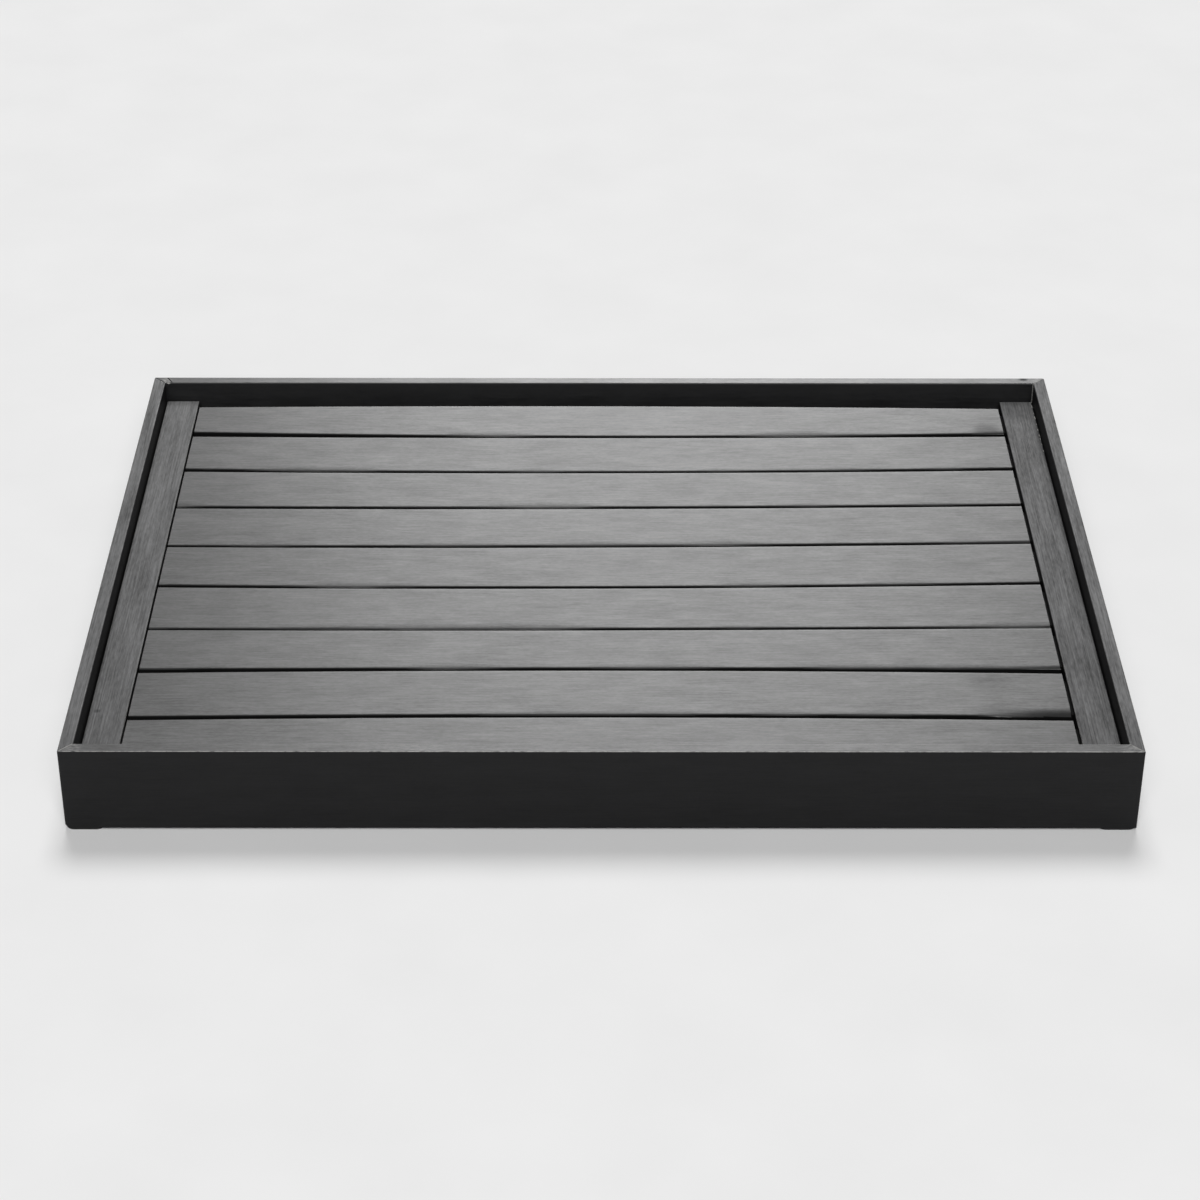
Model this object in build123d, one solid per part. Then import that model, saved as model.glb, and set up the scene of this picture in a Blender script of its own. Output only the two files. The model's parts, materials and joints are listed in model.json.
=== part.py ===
from build123d import *

import os

# Gongfu tea tray: a mitred frame, a lift-out grille of slats, and a loose drip pan below it.
# Millimetres. X runs along the tray, Y from front to back, Z up.
# The origin is on the surface the tray stands on, under the middle of the tray.

# Frame
tray_length = 450.0
tray_depth = 328.0
wall_height = 39.0
wall_thickness = 6.0
corner_radius = 0.8
rim_radius = 0.6

# Base panel, in a rabbet along the lower inner edge of the walls
base_thickness = 3.0
rabbet_width = 3.0
base_clearance = 0.3

# Feet, thin pads at the four corners
foot_size = 16.0
foot_thickness = 1.2
foot_inset = 0.2
foot_corner_radius = 2.6
foot_edge_radius = 0.5

# Splines, one let into each mitre
spline_width = 4.0
spline_thickness = 1.5
spline_end_inset = 5.0
spline_place_share = 0.7

# Ledges, the side rails that carry the grille
ledge_thickness = 6.0
ledge_end_gap = 0.5
ledge_radius = 0.5

# Brads and pins
brad_radius = 0.6
brad_head_radius = 1.0
brad_head_thickness = 0.8
brad_tip_length = 1.2
base_brad_length = 8.0
base_brad_inset = 30.0
long_side_brad_count = 5
short_side_brad_count = 3
ledge_pin_length = 9.5
ledge_pin_inset = 18.0
ledge_pin_count = 4

# Clearance of every glued joint, pin hole and screw hole, on each side
joint_clearance = 0.05

# Grille
grille_recess = 9.5
grille_side_gap = 0.55
grille_end_gap = 1.7
stile_width = 16.2
stile_reach = 4.7
stile_radius = 0.6
slat_thickness = 7.0
slat_radius = 0.8
slat_end_gap = 1.4

# Stub tenons of the slats and their mortises in the stiles
mortise_depth = 4.5
tenon_thickness = 3.0
tenon_shoulder = 4.0
tenon_tip_gap = 0.3

# Battens under the slats
batten_width = 14.0
batten_thickness = 5.0
batten_inset = 6.0
batten_radius = 0.8
batten_place_share = 0.5

# Countersunk screws, one through each batten into each slat
screw_length = 9.5
screw_radius = 1.2
screw_head_radius = 2.4
screw_head_height = 1.6
screw_recess_length = 2.6
screw_recess_width = 0.6
screw_recess_depth = 0.7

# Drip pan
pan_gap = 1.5
pan_headroom = 1.5
pan_wall = 1.6
pan_lip = 3.0
pan_skirt = 3.0
pan_corner_radius = 12.0
pan_floor_radius = 2.5
pan_draft_degrees = 6.0

# The slats are sawn and planed by hand, so their long edges wander a little.
# Each edge is a shallow arc through its left end, middle and right end, from the
# back slat to the front one, in shares of half the depth that the slats cover.
slat_edge_shares = [
    ((0.990, 1.000, 0.984), (0.818, 0.794, 0.816)),
    ((0.790, 0.783, 0.795), (0.577, 0.561, 0.588)),
    ((0.560, 0.553, 0.573), (0.341, 0.338, 0.359)),
    ((0.329, 0.328, 0.348), (0.104, 0.106, 0.129)),
    ((0.096, 0.095, 0.120), (-0.124, -0.133, -0.106)),
    ((-0.137, -0.142, -0.117), (-0.365, -0.364, -0.352)),
    ((-0.373, -0.373, -0.359), (-0.580, -0.574, -0.574)),
    ((-0.600, -0.586, -0.600), (-0.821, -0.810, -0.817)),
    ((-0.838, -0.823, -0.838), (-0.996, -1.000, -0.993)),
]

# Heights and spans worked out from the sizes above
wall_bottom = foot_thickness
wall_top = wall_bottom + wall_height
base_top = wall_bottom + base_thickness
inner_length = tray_length - 2 * wall_thickness
inner_depth = tray_depth - 2 * wall_thickness
grille_thickness = slat_thickness + batten_thickness
grille_top = wall_top - grille_recess
slat_underside = grille_top - slat_thickness
grille_underside = grille_top - grille_thickness
stile_length = inner_depth - 2 * grille_end_gap
stile_x = inner_length / 2 - grille_side_gap - stile_width / 2
slat_half_length = stile_x - stile_width / 2 - slat_end_gap
slat_half_depth = stile_length / 2 - stile_reach
batten_x = slat_half_length * batten_place_share
pan_height = grille_underside - base_top - pan_headroom
pan_length = inner_length - 2 * ledge_thickness - 2 * pan_gap
pan_depth = inner_depth - 2 * pan_gap

left, right = -1, 1
front, back = -1, 1
square_turn = 90
mitre_turn = 45


def block(length, depth, low, high):
    """An upright box centred on the Z axis, from one height to another."""
    return Pos(0, 0, (low + high) / 2) * Box(length, depth, high - low)


def evenly(count, reach):
    """Places of a row of fasteners, spread evenly from -reach to +reach."""
    return [reach * (2 * i / (count - 1) - 1) for i in range(count)]


# Fasteners

def brad(length, clearance=0):
    """A headed brad along Z: the head's face is at zero and the point is up."""
    shank = length - brad_tip_length
    head = extrude(Circle(brad_head_radius + clearance), brad_head_thickness + clearance)
    body = extrude(Circle(brad_radius + clearance), shank + clearance)
    base = Pos(0, 0, shank + clearance)
    tip = base * Cone(
        brad_radius + clearance, 0, brad_tip_length, align=(Align.CENTER, Align.CENTER, Align.MIN)
    )
    return head + body + tip


def screw(clearance=0):
    """A countersunk wood screw along Z: the head's face is at zero and the point is up."""
    head = Cone(
        screw_head_radius + clearance,
        screw_radius + clearance,
        screw_head_height,
        align=(Align.CENTER, Align.CENTER, Align.MIN),
    )
    return head + extrude(Circle(screw_radius + clearance), screw_length + clearance)


def recessed_screw():
    """The screw with its cross recess."""
    arm = block(screw_recess_length, screw_recess_width, 0, screw_recess_depth)
    return screw() - arm - Rot(Z=square_turn) * arm


# Frame

def wall_ring():
    """The four walls as one ring, with their arrises and the rabbet for the base panel."""
    outline = RectangleRounded(tray_length, tray_depth, corner_radius)
    ring = Pos(0, 0, wall_bottom) * extrude(outline, wall_height)
    ring -= block(inner_length, inner_depth, wall_bottom, wall_top)
    rabbet = 2 * rabbet_width
    ring -= block(inner_length + rabbet, inner_depth + rabbet, wall_bottom, base_top)
    rim = ring.faces().sort_by(Axis.Z)[-1].edges()
    return fillet(rim, rim_radius)


def mitre_wedge(along_x, side):
    """The space of one wall, between the planes of its two mitres."""
    length = tray_length if along_x else tray_depth
    depth = tray_depth if along_x else tray_length
    reach = 2 * wall_thickness
    outer = side * depth / 2
    inner = side * (depth / 2 - reach)
    corners = [
        (-length / 2, outer),
        (length / 2, outer),
        (length / 2 - reach, inner),
        (-length / 2 + reach, inner),
    ]
    if not along_x:
        corners = [(y, x) for x, y in corners]
    outline = make_face(Polyline(*corners, close=True))
    return Pos(0, 0, wall_bottom) * extrude(outline, wall_height, dir=(0, 0, 1))


def spline(side_x, side_y, clearance=0):
    """The thin strip across one mitre, hidden in the thickness of both walls."""
    inset = wall_thickness * spline_place_share
    place = Pos(side_x * (tray_length / 2 - inset), side_y * (tray_depth / 2 - inset), 0)
    turn = Rot(Z=-mitre_turn * side_x * side_y)
    strip = block(
        spline_width + 2 * clearance,
        spline_thickness + 2 * clearance,
        base_top + spline_end_inset - clearance,
        wall_top - spline_end_inset + clearance,
    )
    return place * turn * strip


def base_brad_places():
    """Where the brads go up through the edge of the base panel into the walls."""
    seat = (rabbet_width - base_clearance) / 2
    row_x = inner_length / 2 + seat
    row_y = inner_depth / 2 + seat
    long_row = evenly(long_side_brad_count, inner_length / 2 - base_brad_inset)
    short_row = evenly(short_side_brad_count, inner_depth / 2 - base_brad_inset)
    places = [Pos(x, side * row_y, wall_bottom) for side in (front, back) for x in long_row]
    places += [Pos(side * row_x, y, wall_bottom) for side in (left, right) for y in short_row]
    return places


def ledge_pin_places(side):
    """Where the pins go through a ledge into its wall, heads towards the middle."""
    head_x = side * (inner_length / 2 - ledge_thickness)
    height = (base_top + grille_underside) / 2
    row = evenly(ledge_pin_count, inner_depth / 2 - ledge_pin_inset)
    return [Pos(head_x, y, height) * Rot(Y=side * square_turn) for y in row]


def walls():
    """The four mitred walls by name."""
    ring = wall_ring()
    for side_x in (left, right):
        for side_y in (front, back):
            ring -= spline(side_x, side_y, joint_clearance)
    for place in base_brad_places():
        ring -= place * brad(base_brad_length, joint_clearance)
    for place in ledge_pin_places(left) + ledge_pin_places(right):
        ring -= place * brad(ledge_pin_length, joint_clearance)
    return {
        "front_wall": ring & mitre_wedge(True, front),
        "back_wall": ring & mitre_wedge(True, back),
        "left_wall": ring & mitre_wedge(False, left),
        "right_wall": ring & mitre_wedge(False, right),
    }


def base_panel():
    """The thin panel in the rabbet, flush with the lower edge of the walls."""
    spread = 2 * (rabbet_width - base_clearance)
    panel = block(inner_length + spread, inner_depth + spread, wall_bottom, base_top)
    for place in base_brad_places():
        panel -= place * brad(base_brad_length, joint_clearance)
    return panel


def foot(side_x, side_y):
    """A corner pad under the wall and the base panel."""
    outline = RectangleRounded(foot_size, foot_size, foot_corner_radius)
    pad = extrude(outline, foot_thickness)
    rims = pad.faces().sort_by(Axis.Z)[0].edges()
    pad = fillet(rims, foot_edge_radius)
    inset = foot_inset + foot_size / 2
    return Pos(side_x * (tray_length / 2 - inset), side_y * (tray_depth / 2 - inset), 0) * pad


def ledge(side):
    """The rail inside a side wall, standing on the base panel, that carries a stile."""
    length = inner_depth - 2 * ledge_end_gap
    rail = block(ledge_thickness, length, base_top, grille_underside)
    inner_edge = rail.edges().filter_by(Axis.Y).group_by(Axis.Z)[-1].sort_by(Axis.X)[0]
    rail = fillet(inner_edge, ledge_radius)
    rail = Pos(inner_length / 2 - ledge_thickness / 2, 0, 0) * rail
    if side == left:
        rail = mirror(rail, about=Plane.YZ)
    for place in ledge_pin_places(side):
        rail -= place * brad(ledge_pin_length, joint_clearance)
    return rail


# Grille

def edge_place(shares, run):
    """Depth of a slat's edge at a run of -1 at its left end to 1 at its right end."""
    at_left, at_middle, at_right = [share * slat_half_depth for share in shares]
    slope = (at_right - at_left) / 2
    bow = (at_right + at_left) / 2 - at_middle
    return at_middle + slope * run + bow * run * run


def slat_middle(index, run):
    """Depth of a slat's middle line at the same run."""
    back_shares, front_shares = slat_edge_shares[index]
    return (edge_place(back_shares, run) + edge_place(front_shares, run)) / 2


def slat_width(index, run):
    """Width of a slat at the same run."""
    back_shares, front_shares = slat_edge_shares[index]
    return edge_place(back_shares, run) - edge_place(front_shares, run)


def tenon_block(index, side, length, clearance=0):
    """A tenon at one end of a slat, or with a clearance the mortise for it."""
    width = slat_width(index, side) - 2 * tenon_shoulder + 2 * clearance
    thickness = tenon_thickness + 2 * clearance
    middle_x = side * (slat_half_length + length / 2)
    middle_z = grille_top - slat_thickness / 2
    return Pos(middle_x, slat_middle(index, side), middle_z) * Box(length, width, thickness)


def batten_screw_places(side):
    """Where the screws go up through a batten, one into the middle of each slat."""
    run = side * batten_place_share
    return [
        Pos(side * batten_x, slat_middle(index, run), grille_underside)
        for index in range(len(slat_edge_shares))
    ]


def slat(index):
    """One slat with its rounded top arrises, stub tenons and screw holes."""
    back_shares, front_shares = slat_edge_shares[index]
    ends = (left, 0, right)
    back_points = [(run * slat_half_length, edge_place(back_shares, run)) for run in ends]
    front_points = [(run * slat_half_length, edge_place(front_shares, run)) for run in ends]
    outline = make_face([
        ThreePointArc(*back_points),
        Line(back_points[-1], front_points[-1]),
        ThreePointArc(*front_points),
        Line(front_points[0], back_points[0]),
    ])
    body = Pos(0, 0, slat_underside) * extrude(outline, slat_thickness, dir=(0, 0, 1))
    body = fillet(body.edges().group_by(Axis.Z)[-1], slat_radius)
    tenon_length = slat_end_gap + mortise_depth - tenon_tip_gap
    for side in (left, right):
        body += tenon_block(index, side, tenon_length)
        body -= batten_screw_places(side)[index] * screw(joint_clearance)
    return body


def stile(side):
    """A side member of the grille, with a mortise for each slat."""
    body = Pos(side * stile_x, 0, 0) * block(stile_width, stile_length, grille_underside, grille_top)
    body = fillet(body.edges().group_by(Axis.Z)[-1], stile_radius)
    for index in range(len(slat_edge_shares)):
        body -= tenon_block(index, side, slat_end_gap + mortise_depth, joint_clearance)
    return body


def batten(side):
    """A cross batten under the slats, flush with the underside of the stiles."""
    length = 2 * (slat_half_depth - batten_inset)
    body = block(batten_width, length, grille_underside, slat_underside)
    body = fillet(body.edges().group_by(Axis.Z)[0], batten_radius)
    body = Pos(side * batten_x, 0, 0) * body
    for place in batten_screw_places(side):
        body -= place * screw(joint_clearance)
    return body


# Drip pan

def pan_shell(inset, low):
    """The tapered space inside an outline of the pan, from a height above its base to the rim."""
    length = pan_length - 2 * pan_lip - 2 * inset
    depth = pan_depth - 2 * pan_lip - 2 * inset
    spare = pan_wall - inset
    rim = RectangleRounded(length, depth, pan_corner_radius + spare)
    top = base_top + pan_height
    shell = extrude(Pos(0, 0, top) * rim, base_top + low - top, taper=pan_draft_degrees)
    floor = shell.faces().sort_by(Axis.Z)[0].edges()
    return fillet(floor, pan_floor_radius + spare)


def drip_pan():
    """The moulded pan: a tapered tray with a flat lip and a short skirt turned down."""
    lip_bottom = base_top + pan_height - pan_skirt
    lip_corner = pan_corner_radius + pan_wall + pan_lip
    lip_outline = RectangleRounded(pan_length, pan_depth, lip_corner)
    skirt_hole = RectangleRounded(
        pan_length - 2 * pan_wall, pan_depth - 2 * pan_wall, lip_corner - pan_wall
    )
    lip = Pos(0, 0, lip_bottom) * extrude(lip_outline, pan_skirt)
    lip -= Pos(0, 0, lip_bottom) * extrude(skirt_hole, pan_skirt - pan_wall)
    return lip + pan_shell(0, 0) - pan_shell(pan_wall, pan_wall)


def nodes():
    """Every sub-part by the name of its file."""
    shapes = walls()
    shapes["base_panel"] = base_panel()
    shapes["base_brads"] = Compound([p * brad(base_brad_length) for p in base_brad_places()])
    for x_name, side_x in (("left", left), ("right", right)):
        for y_name, side_y in (("front", front), ("back", back)):
            shapes[f"{y_name}_{x_name}_spline"] = spline(side_x, side_y)
            shapes[f"{y_name}_{x_name}_foot"] = foot(side_x, side_y)
        pins = [p * brad(ledge_pin_length) for p in ledge_pin_places(side_x)]
        screws = [p * recessed_screw() for p in batten_screw_places(side_x)]
        shapes[f"{x_name}_ledge"] = ledge(side_x)
        shapes[f"{x_name}_ledge_pins"] = Compound(pins)
        shapes[f"{x_name}_stile"] = stile(side_x)
        shapes[f"{x_name}_batten"] = batten(side_x)
        shapes[f"{x_name}_batten_screws"] = Compound(screws)
    for index in range(len(slat_edge_shares)):
        shapes[f"slat_{index + 1}"] = slat(index)
    shapes["drip_pan"] = drip_pan()
    return shapes


os.makedirs("parts", exist_ok=True)
for name, shape in nodes().items():
    export_step(shape, f"parts/{name}.step")
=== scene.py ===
# %% [markdown]
# A gongfu tea tray in black-stained bamboo: a low mitred frame, and inside it a lift-out grille of nine
# slats that drains into a loose pan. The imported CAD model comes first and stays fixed. Everything below
# either gives one of its nodes a better finish, or hides a node and puts a more finely worked piece in
# exactly the same place.

# %% Load the fixed frame
import json
import math
import random

import bmesh
import bpy
import numpy as np
from mathutils import Matrix, Quaternion, Vector, noise


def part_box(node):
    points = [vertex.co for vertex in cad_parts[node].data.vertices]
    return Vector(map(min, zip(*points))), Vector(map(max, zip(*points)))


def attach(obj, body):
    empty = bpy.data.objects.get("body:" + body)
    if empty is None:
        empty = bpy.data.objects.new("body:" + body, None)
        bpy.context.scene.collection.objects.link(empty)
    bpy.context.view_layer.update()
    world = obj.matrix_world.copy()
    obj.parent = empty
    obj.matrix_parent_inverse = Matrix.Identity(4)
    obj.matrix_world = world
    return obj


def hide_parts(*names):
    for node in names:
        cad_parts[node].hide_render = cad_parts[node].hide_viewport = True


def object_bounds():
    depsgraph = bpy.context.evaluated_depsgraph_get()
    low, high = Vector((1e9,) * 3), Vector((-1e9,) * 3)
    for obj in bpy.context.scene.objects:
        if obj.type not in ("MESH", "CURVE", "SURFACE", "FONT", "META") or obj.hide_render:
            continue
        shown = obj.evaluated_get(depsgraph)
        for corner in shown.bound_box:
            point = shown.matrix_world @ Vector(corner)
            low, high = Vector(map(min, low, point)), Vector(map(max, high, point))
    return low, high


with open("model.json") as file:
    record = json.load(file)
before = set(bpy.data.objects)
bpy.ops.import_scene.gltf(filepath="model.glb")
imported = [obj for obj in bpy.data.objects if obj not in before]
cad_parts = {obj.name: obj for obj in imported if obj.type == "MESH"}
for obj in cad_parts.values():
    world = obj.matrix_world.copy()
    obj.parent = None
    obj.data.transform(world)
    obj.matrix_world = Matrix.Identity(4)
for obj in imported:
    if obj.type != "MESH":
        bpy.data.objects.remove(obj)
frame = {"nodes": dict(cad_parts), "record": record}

cad_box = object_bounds()
mm = 0.001
half_length, half_depth, rim_top = cad_box[1]
print("CAD box in mm:", [[round(value / mm, 2) for value in corner] for corner in cad_box])

# %% [markdown]
# The camera stands in front of the tray and looks down on it at about 32 degrees, a little left of its
# middle. Its place was worked out from the corners of the rim, as a photographer would measure a set:
# stand, tilt and lens give the same converging sides. The picture is square, 1200 pixels wide.

# %% Camera
picture_width_px = 1200
focal_length_px = 2971.1
camera_place = Vector((-5.33, -1167.31, 749.03)) * mm
tilt_down = math.radians(32.312)
turn_right = math.radians(0.253)
roll = math.radians(0.180)

camera_data = bpy.data.cameras.new("camera")
camera_data.sensor_width = 36
camera_data.lens = camera_data.sensor_width * focal_length_px / picture_width_px
camera = bpy.data.objects.new("camera", camera_data)
bpy.context.scene.collection.objects.link(camera)
camera.matrix_world = (
    Matrix.Translation(camera_place)
    @ Matrix.Rotation(-turn_right, 4, "Z")
    @ Matrix.Rotation(math.pi / 2 - tilt_down, 4, "X")
    @ Matrix.Rotation(roll, 4, "Z")
)
bpy.context.scene.camera = camera
bpy.context.scene.view_settings.view_transform = "Standard"
print("lens in mm:", round(camera_data.lens, 2))

# %% [markdown]
# Helpers for the finishes. Colours are written as sRGB hex, as they are read off a swatch, and shaders
# want linear values. Node trees are built by one function, which adds a node with its settings and its
# inputs. These are either values or outputs of other nodes.

# %% Helpers for finishes
bump_strength = 0.5
multiplying = {"operation": "MULTIPLY"}
measuring = {"operation": "DISTANCE"}
softly = {"interpolation_type": "SMOOTHSTEP"}
in_colour = {"data_type": "RGBA"}


def linear(hex_colour):
    """An sRGB hex colour as linear red, green, blue and alpha."""
    shares = [int(hex_colour[place:place + 2], 16) / 255 for place in (0, 2, 4)]
    return [s / 12.92 if s <= 0.04045 else ((s + 0.055) / 1.055) ** 2.4 for s in shares] + [1]


def add_node(tree, kind, inputs, settings=None, output=0):
    """Add a node, set it up, fill or link its inputs, and hand on one of its outputs.

    The inputs have names, or come as a list in the order that they have on the node."""
    node = tree.nodes.new(f"ShaderNode{kind}")
    for key, value in (settings or {}).items():
        setattr(node, key, value)
    for key, value in inputs.items() if isinstance(inputs, dict) else enumerate(inputs):
        if isinstance(value, bpy.types.NodeSocket):
            tree.links.new(value, node.inputs[key])
        else:
            node.inputs[key].default_value = value
    return node.outputs[output] if len(node.outputs) else None


def new_finish(name):
    """An empty material, its node tree, and the Object coordinates that its patterns start from."""
    material = bpy.data.materials.new(name)
    material.use_nodes = True
    tree = material.node_tree
    tree.nodes.clear()
    return material, tree, add_node(tree, "TexCoord", {}, output="Object")


def close_finish(tree, colour, roughness, gloss, relief, height, **rest):
    """End a finish: its grooves or grain in relief, the shader and the output."""
    bump = {"Strength": bump_strength, "Distance": relief, "Height": height}
    shader_inputs = {"Base Color": colour, "Roughness": roughness, "Specular IOR Level": gloss}
    shader_inputs.update(rest, Normal=add_node(tree, "Bump", bump))
    add_node(tree, "OutputMaterial", {"Surface": add_node(tree, "BsdfPrincipled", shader_inputs)})


# %% [markdown]
# The grain of bamboo. Bamboo has straight parallel fibres, and strips of it have no growth rings. Two
# figures make the grain: long hairlines, which are the walls of the fibre bundles, and short dashes,
# which are the bundles' cut ends where the plane has opened them. Soft clouds, where the stain has taken
# unevenly, lie over both. Bundles are about 0.3 mm wide. They are drawn twice as wide, because finer ones
# would not show. The strips that run front to back were picked with longer grain.

# %% Grain of bamboo
# Length along the fibres, width across them, and detail
figures = {
    "hairline": (16 * mm, 2 * 0.3 * mm, 4),
    "dash": (2.2 * mm, 2 * 0.4 * mm, 4),
    "cloud": (22 * mm, 7 * mm, 3),
}
grain_harshness = 0.6
long_strip_share = 2.2


def bamboo_figures(tree, place, lengthwise):
    """A noise for each figure of bamboo with its fibres along X (0) or Y (1)."""
    noises = {}
    for figure, (along, across, detail) in figures.items():
        sizes = [across] * 3
        sizes[lengthwise] = along * (long_strip_share if lengthwise else 1)
        stretched = add_node(tree, "Mapping", {"Vector": place, "Scale": [1 / size for size in sizes]})
        inputs = {"Vector": stretched, "Scale": 1, "Detail": detail, "Roughness": grain_harshness}
        noises[figure] = add_node(tree, "TexNoise", inputs)
    return noises


print("grain of bamboo:", ", ".join(figures))

# %% [markdown]
# Marks of use and painted shadows. Marks, scuffs and painted shadows are soft round patches at places on
# the tray, measured from above. A distance makes each: all in the middle, nothing at its radius.

# %% Marks of use and painted shadows
patch_core_share = 0.2


def patch(tree, place, x, y, radius, strength):
    """A round patch, in mm: its strength in the middle, fading to nothing at its radius."""
    flat = add_node(tree, "VectorMath", [place, (1, 1, 0)], multiplying)
    distance = add_node(tree, "VectorMath", [flat, (x * mm, y * mm, 0)], measuring, "Value")
    fade = [distance, patch_core_share * radius * mm, radius * mm, strength, 0]
    return add_node(tree, "MapRange", fade, softly)


# %% [markdown]
# Black-stained bamboo. Strips of culm are glued up, planed, stained black and rubbed down with oil, so
# the tops are satin. The plane leaves fine grooves along the fibres. On the slats and the front rim the
# gloss therefore spreads across the fibres: light from behind the tray is drawn out towards the viewer.
# That is anisotropy, with its tangent across the fibres and leaning a little up. The stain takes
# unevenly. Where it lies thin, the bamboo is lighter and the rubbing has made it glossier, so that the
# roughness falls as the tone rises. Where an arris is worn, pale bamboo shows in broken dashes.

# %% Stained bamboo
dash_share = 0.4
cloud_share = 0.28
tone_limits = (0.38, 0.62)
worn_bamboo = "858482"
arris_breaks = (0.3, 0.7)
scuff_breaks = (0.4, 0.6)
# Stain of the dark patches left by use, and of painted shade
dark_stain_and_shade = "080808"
dulled_roughness = 0.95
# Slopes towards the front over which the painted shade on front-leaning faces comes in
pooled_slopes = (-0.06, -0.60)
tangent_rise = 0.35


def stained_bamboo(name, lengthwise, stain, roughness, gloss, relief, wear, **special):
    """Stained bamboo with its fibres along X (0) or Y (1).

    Relief is the depth of its grooves, and wear how much bamboo shows on its arrises. It may be special
    in its anisotropy; in painted front shade, a dark, dead stain on the faces that lean to the front; in
    dark patches, where it is darkened and made dull: left by use, except the one on the right stile, which
    is a painted shadow of the back wall; and in scuffs, where it is scratched bare. Each patch and scuff is
    x, y, a radius and a strength."""
    material, tree, place = new_finish(name)
    noises = bamboo_figures(tree, place, lengthwise)
    mix = {"Factor": dash_share, "A": noises["hairline"], "B": noises["dash"]}
    fibre = add_node(tree, "Mix", mix, output="Result")
    mix = {"Factor": cloud_share, "A": fibre, "B": noises["cloud"]}
    clouded = add_node(tree, "Mix", mix, output="Result")
    tone = add_node(tree, "MapRange", [clouded, *tone_limits, 0, 1])
    rough = add_node(tree, "MapRange", [tone, 0, 1, *roughness])
    mix = {"Factor": tone, "A": linear(stain[0]), "B": linear(stain[1])}
    colour = add_node(tree, "Mix", mix, in_colour, "Result")

    arris = add_node(tree, "Attribute", {}, {"attribute_name": "arris"}, "Fac")
    dashes = add_node(tree, "MapRange", [noises["dash"], *arris_breaks, 0, wear])
    bare = [add_node(tree, "Math", [arris, dashes], multiplying)]
    for scuff in special.get("scuffs", []):
        dashes = add_node(tree, "MapRange", [noises["dash"], *scuff_breaks, 0, 1])
        bare.append(add_node(tree, "Math", [patch(tree, place, *scuff), dashes], multiplying))
    for share in bare:
        mix = {"Factor": share, "A": colour, "B": linear(worn_bamboo)}
        colour = add_node(tree, "Mix", mix, in_colour, "Result")

    # Dark patches: left by use, and on the right stile a painted shadow of the back wall
    darkened = [patch(tree, place, *mark) for mark in special.get("marks", [])]
    # Painted shade: faces that lean to the front, such as the slats' front arrises, take the dark, dead
    # stain
    if special.get("pooled"):
        slope = add_node(tree, "SeparateXYZ", [place.node.outputs["Normal"]], output="Y")
        darkened.append(add_node(tree, "MapRange", [slope, *pooled_slopes, 0, 1], softly))
    for share in darkened:
        mix = {"Factor": share, "A": colour, "B": linear(dark_stain_and_shade)}
        colour = add_node(tree, "Mix", mix, in_colour, "Result")
        mix = {"Factor": share, "A": rough, "B": dulled_roughness}
        rough = add_node(tree, "Mix", mix, output="Result")

    drawn_out = {}
    if special.get("anisotropy"):
        across = add_node(tree, "CombineXYZ", [lengthwise, 1 - lengthwise, tangent_rise])
        drawn_out = {"Tangent": across, "Anisotropic": special["anisotropy"]}
    close_finish(tree, colour, rough, gloss, relief, fibre, **drawn_out)
    return material


# %% [markdown]
# The bamboo of each piece. The maker picked strips with an even stain for the slats, the front and the
# back, and streakier ones, planed more coarsely, for the rest. Each piece has a rubbed satin finish for
# its top and an unrubbed matt one for its sides. The pair is partly painted light: the top gets a lighter
# stain, and the sides a darker one as painted shade. Marks and scuffs stand where use has left them,
# but the dark patch at the back end of the right stile is a painted shadow of the back wall.

# %% Bamboo of each piece
even_stain = ("050505", "444444")
streaky_stain = ("040404", "4e4e4f")
# The darker stain of the sides is painted shade, which keeps them darker than the tops
shaded_side_stain = ("0f0f10", "1a1a1b")
full_gloss = 0.5
middle_gloss = 0.42
dull_gloss = 0.2
matt_roughness = (0.5, 0.62)
light_wear = 0.4
matt_wear = 0.6
drawn_gloss = 0.7
fine_relief = 0.05 * mm
coarse_relief = 0.11 * mm


def bamboo_pair(use, lengthwise, stain, roughness, gloss, relief, wear=1, matt_gloss=dull_gloss, **special):
    """The rubbed and the unrubbed finish of the same bamboo, fibres along X (0) or Y (1)."""
    end = f"fibres along {'XY'[lengthwise]}, {use}"
    satin_name = f"bamboo, black stained, rubbed satin, {end}"
    satin = stained_bamboo(satin_name, lengthwise, stain, roughness, gloss, relief, wear, **special)
    matt_name = f"bamboo, black stained, left matt, {end}"
    matt_look = (shaded_side_stain, matt_roughness, matt_gloss, fine_relief, matt_wear)
    return satin, stained_bamboo(matt_name, lengthwise, *matt_look)


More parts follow.
